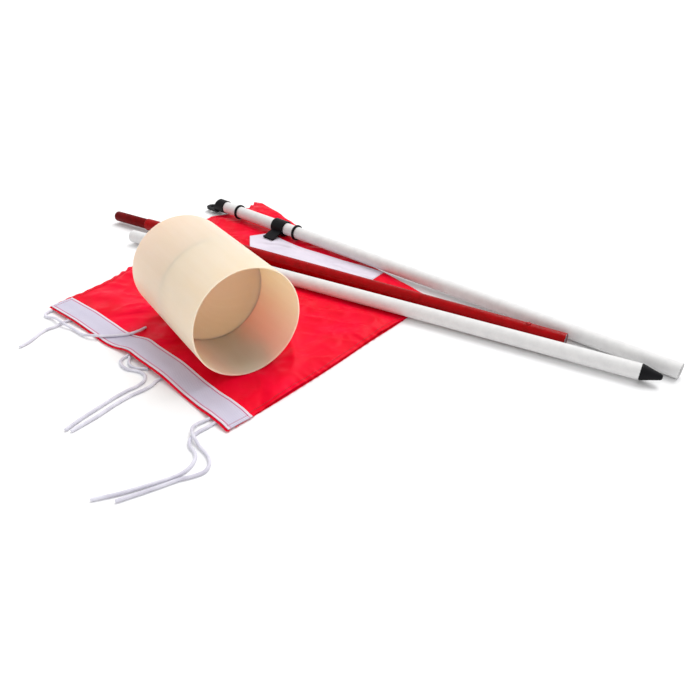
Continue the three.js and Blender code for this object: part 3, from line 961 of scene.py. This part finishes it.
# The bulkhead has a pressed ring in it, and a thicker edge where it is welded.
PLATE = 81.4
plate_outline = [
    (-1.5, 0.0), (-1.5, 20), (-1.4, 52), (-0.4, 56), (-0.4, 70), (-1.4, 74), (-1.4, 79),
    (-2.6, PLATE - 0.3), (-2.2, PLATE), (2.2, PLATE), (2.6, PLATE - 0.3), (1.4, 79), (1.4, 74),
    (2.4, 70), (2.4, 56), (1.4, 52), (1.5, 0.0),
]
bulkhead = turned("drum_plate", plate_outline, 160, cream, middle_of("drum_bulkhead"), drum_axis)
belongs(bulkhead, "drum", "drum_bulkhead")

# ---- Pole sections ----
# Drawn 25 mm aluminium tube, a metre long. Two are powder coated white and one gloss red. The coat is
# rubbed off at the cut ends. The red section's plug is pressed into its bore, and is part of its metre.

POLE_RADIUS, POLE_BORE = 12.5, 11.1
POLE_SIDES = 96
BARE_METAL = (0.35, 0.35, 0.36, 1)


def paint_finish(name, deep, bright, gloss, peel, ends, coat=0.25):
    """Paint on tube: an orange-peel skin, small scuffs, and bare metal at the cut ends."""
    finish, shader = new_finish(
        name, bright, gloss[0], Coat_Weight=coat, Coat_Roughness=0.12, Specular_IOR_Level=0.08
    )
    unrolled = node(finish, "TexCoord").outputs["UV"]
    dust = noise(finish, unrolled, 60.0, 6.0, Roughness=0.65)
    tone = ramp(finish, dust, (0.32, deep), (0.6, bright))
    along = node(finish, "SeparateXYZ", {"Vector": unrolled}).outputs["Y"]
    near_end = mapped(finish, worked(finish, "ABSOLUTE", along), 0.0, 1.0, ends - 0.0015, ends)
    worn = worked(finish, "MULTIPLY", near_end, noise(finish, unrolled, 420.0, 3.0))
    bare = mapped(finish, worn, 0.0, 1.0, 0.36, 0.44)
    skin = node(finish, "MixRGB", {"Fac": bare, "Color1": tone, "Color2": BARE_METAL})
    feed(finish, skin.outputs["Color"], shader, "Base Color")
    feed(finish, bare, shader, "Metallic")
    feed(finish, mapped(finish, dust, *gloss), shader, "Roughness")
    feed(finish, raised(finish, noise(finish, unrolled, 330.0, 1.0), peel, 0.0005), shader, "Normal")
    return finish


def tube_outline(half):
    """The wall of a tube, with its cut ends broken by hand."""
    return [
        *rounded((-half, POLE_RADIUS), (-half, 0), (half, POLE_RADIUS), 0.5, 3),
        *along_wall(-half + 2, half - 2, POLE_RADIUS, 12),
        *rounded((half, POLE_RADIUS), (-half, POLE_RADIUS), (half, 0), 0.5, 3),
        *rounded((half, POLE_BORE), (half, POLE_RADIUS), (-half, POLE_BORE), 0.25, 2),
        *rounded((-half, POLE_BORE), (half, POLE_BORE), (-half, POLE_RADIUS), 0.25, 2),
    ]


white_paint = paint_finish(
    "white_powder_coat", (0.68, 0.675, 0.675), (0.75, 0.745, 0.74), (0.3, 0.42), 0.10, 0.5, coat=0.0
)
red_paint = paint_finish(
    "red_gloss_coat", (0.25, 0.0, 0.0), (0.36, 0.0, 0.002), (0.16, 0.3), 0.5, 0.452, coat=0.03
)

clip_spin = next(j for j in frame["joints"] if j["name"] == "clip_spin")
top_axis = -Vector(clip_spin["axis"]).normalized()
middle_axis, bottom_axis = (
    Vector((cos(pole_lines[which][1]), sin(pole_lines[which][1]), 0)) for which in ("middle", "bottom")
)
far = POLE_LENGTH / 2

for which, axis in (("top_pole", top_axis), ("bottom_pole", bottom_axis)):
    part = which + "_tube"
    tube = turned(which + "_coated", tube_outline(far), POLE_SIDES, white_paint, middle_of(part), axis)
    belongs(tube, which, part)

PLUG_SHOWN, PLUG_HELD, PLUG_NOSE, PLUG_WALL, PLUG_FIT = 96, 60, 5, 1.6, 0.3
BUTTON_HOLE = 4.3 * MM
DRILL_LENGTH = 30 * MM
red_half = (POLE_LENGTH - PLUG_SHOWN) / 2
red_middle = middle_of("middle_pole_tube")
middle_tube = turned(
    "middle_pole_coated", tube_outline(red_half), POLE_SIDES, red_paint, red_middle, middle_axis
)
button_low, button_high = (Vector(c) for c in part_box("snap_button"))
button_middle = (button_low + button_high) / 2
button_foot = Vector((button_middle.x, button_middle.y, red_middle[2] * MM))
drill_mesh = bpy.data.meshes.new("drill")
drill = bmesh.new()
bmesh.ops.create_cone(
    drill, cap_ends=True, segments=48, radius1=BUTTON_HOLE, radius2=BUTTON_HOLE, depth=DRILL_LENGTH,
    matrix=Matrix.Translation(button_foot + Vector((0, 0, DRILL_LENGTH / 2))),
)
drill.to_mesh(drill_mesh)
drill.free()
tool = bpy.data.objects.new("drill", drill_mesh)
scene.collection.objects.link(tool)
step = middle_tube.modifiers.new("button_hole", "BOOLEAN")
step.operation, step.object, step.solver = "DIFFERENCE", tool, "EXACT"
drilled = baked(middle_tube)
middle_tube.modifiers.remove(step)
middle_tube.data = drilled
bpy.data.objects.remove(tool)
belongs(middle_tube, "middle_pole", "middle_pole_tube")

plug_radius = POLE_BORE - PLUG_FIT
plug_bore = plug_radius - PLUG_WALL
groove = plug_radius - 0.35
nose = [
    (-PLUG_SHOWN + PLUG_NOSE - PLUG_NOSE * cos(a), plug_radius - PLUG_NOSE + PLUG_NOSE * sin(a))
    for a in np.linspace(0, pi / 2, 10)
]
plug_outline = [
    (-PLUG_SHOWN, 0), (-PLUG_SHOWN, 3), *nose, (-2.2, plug_radius), (-1.6, groove), (-0.6, groove),
    (0, plug_radius), (PLUG_HELD, plug_radius), (PLUG_HELD, plug_bore),
    (-PLUG_SHOWN + PLUG_NOSE, plug_bore), (-PLUG_SHOWN + PLUG_NOSE, 0),
]
# The plug wears a darker copy of the red section's paint: painted shade, for the shade it lies in at that
# end.
plug_coat_painted_shade = paint_finish(
    "red_plug_coat_painted_shade", (0.10, 0.0, 0.0), (0.16, 0.0, 0.001), (0.3, 0.45), 0.2, 0.5, coat=0.0
)
plug_foot = Vector(red_middle) - middle_axis * red_half
plug = turned("middle_pole_plug", plug_outline, POLE_SIDES, plug_coat_painted_shade, plug_foot, middle_axis)
belongs(plug, "middle_pole", "middle_pole_spigot")

# ---- Snap button, coupler and spring ----
# The coupler is a short alloy sleeve kept inside the red section, and it slides out to join the next
# one. A painted button on a folded steel leaf comes up through both walls and locks it.

# The button's paint is a lighter, pinker copy of the red section's: painted highlight.
button_coat_painted_highlight = paint_finish(
    "red_button_coat_painted_highlight", (0.24, 0.002, 0.004), (0.42, 0.01, 0.016), (0.22, 0.3), 0.1, 1.0
)
# turned() finds its sides from the upright, so a piece that stands up leans by a hair.
NEARLY_UP = (0.0001, 0, 1)
button_top = (button_high.z - button_foot.z) / MM
button_outline = [
    (5.9, 0), (5.9, 5.4), (7.2, 5.4), (7.2, 4), (button_top - 1.6, 4), (button_top - 0.7, 3.6),
    (button_top - 0.2, 2.7), (button_top, 1.6), (button_top - 0.15, 0),
]
snap_button = turned("snap_button_dome", button_outline, 48, button_coat_painted_highlight, button_foot / MM, NEARLY_UP)
belongs(snap_button, "button", "snap_button")


def metal_finish(name, colour, roughness, scale):
    """Bare metal with a mottled bloom."""
    finish, shader = new_finish(name, colour, roughness, Metallic=1.0)
    bloom = noise(finish, node(finish, "TexCoord").outputs["Object"], scale, 6.0)
    shade = [0.75 * c for c in colour]
    feed(finish, ramp(finish, bloom, (0.0, shade), (1.0, colour)), shader, "Base Color")
    feed(finish, mapped(finish, bloom, roughness - 0.08, roughness + 0.1), shader, "Roughness")
    return finish


def repaint(mesh, finish):
    """Puts one finish in place of a mesh's own."""
    mesh.materials.clear()
    mesh.materials.append(finish)


# The sleeve stays as the CAD made it, in a finish of its own.
sleeve_finish = metal_finish("mill_alloy", (0.62, 0.62, 0.64), 0.38, 240.0)
repaint(frame["nodes"]["coupler_sleeve"].data, sleeve_finish)

# The spring keeps the CAD's own shape, in a steel finish of its own; in the real thing its upper leaf goes
# down with the button, and its bend closes up.
spring_mesh = frame["nodes"]["button_spring"].data.copy()
repaint(spring_mesh, metal_finish("spring_steel", (0.52, 0.51, 0.50), 0.3, 400.0))
leaf_spring = bpy.data.objects.new("button_leaf_spring", spring_mesh)
scene.collection.objects.link(leaf_spring)
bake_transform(leaf_spring)
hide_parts("button_spring")

# ---- Black plastic fittings ----
# Injection-moulded nylon: a cap with a lug on the top section's upper end, two stop rings and the
# swivel clip that turns between them, and the ground spike in the bottom section's lower end.


def plastic_finish():
    """Black nylon with a fine spark-eroded grain."""
    finish, shader = new_finish("black_nylon", (0.006, 0.006, 0.007), 0.42, Specular_IOR_Level=0.1)
    place = node(finish, "TexCoord").outputs["Object"]
    handled = noise(finish, place, 70.0, 5.0)
    tone = ramp(finish, handled, (0.0, (0.003, 0.003, 0.0035)), (1.0, (0.010, 0.010, 0.012)))
    feed(finish, tone, shader, "Base Color")
    feed(finish, mapped(finish, handled, 0.34, 0.52), shader, "Roughness")
    feed(finish, raised(finish, noise(finish, place, 1100.0, 2.0), 0.25, 0.00015), shader, "Normal")
    return finish


black_nylon = plastic_finish()
MOULD_EDGE = radians(35)


def moulded(name, part, body):
    """A CAD node's shape with its facets merged and its edges rounded over, as a mould leaves them."""
    mesh = frame["nodes"][part].data.copy()
    mesh.name = name
    repaint(mesh, black_nylon)
    shape = bmesh.new()
    shape.from_mesh(mesh)
    bmesh.ops.remove_doubles(shape, verts=shape.verts, dist=2e-6)
    bmesh.ops.dissolve_limit(shape, angle_limit=radians(1), verts=shape.verts, edges=shape.edges)
    shape.to_mesh(mesh)
    shape.free()
    made = bpy.data.objects.new(name, mesh)
    scene.collection.objects.link(made)
    mesh.shade_smooth()
    mesh.set_sharp_from_angle(angle=MOULD_EDGE)
    soft = made.modifiers.new("moulded_edges", "BEVEL")
    soft.width, soft.segments, soft.limit_method = 0.7 * MM, 2, "ANGLE"
    soft.angle_limit, soft.harden_normals = MOULD_EDGE, True
    belongs(made, body, part)


moulded("cap_with_lug", "top_cap", "top_pole")
moulded("clip_collar_and_tab", "swivel_clip", "clip")

RING_BORE, RING_RADIUS, RING_HALF = 12.8, 16, 2.5
ring_outline = filleted(
    [(-RING_HALF, RING_BORE), (-RING_HALF, RING_RADIUS), (RING_HALF, RING_RADIUS), (RING_HALF, RING_BORE)],
    [0.3, 1.2, 1.2, 0.3],
)
for part in ("upper_stop_ring", "lower_stop_ring"):
    ring = turned(part + "_moulded", ring_outline, 72, black_nylon, middle_of(part), top_axis)
    belongs(ring, "top_pole", part)

SPIKE_SHOWN, SPIKE_HELD, SPIKE_CLEAR = 30, 30, 0.3
spike_foot = Vector(middle_of("bottom_pole_tube")) + bottom_axis * (far + SPIKE_CLEAR)
spike_outline = [
    (-SPIKE_HELD, 0), (-SPIKE_HELD, plug_radius), (0, plug_radius), (0, 12.3), (0.4, 12.5), (1.7, 12.5),
    (2.3, 12.2), (SPIKE_SHOWN - 2.2, 4.5), (SPIKE_SHOWN - 0.9, 3.7), (SPIKE_SHOWN - 0.2, 2.2),
    (SPIKE_SHOWN, 0),
]
spike = turned("ground_spike_moulded", spike_outline, 80, black_nylon, spike_foot, bottom_axis)
belongs(spike, "bottom_pole", "ground_spike")
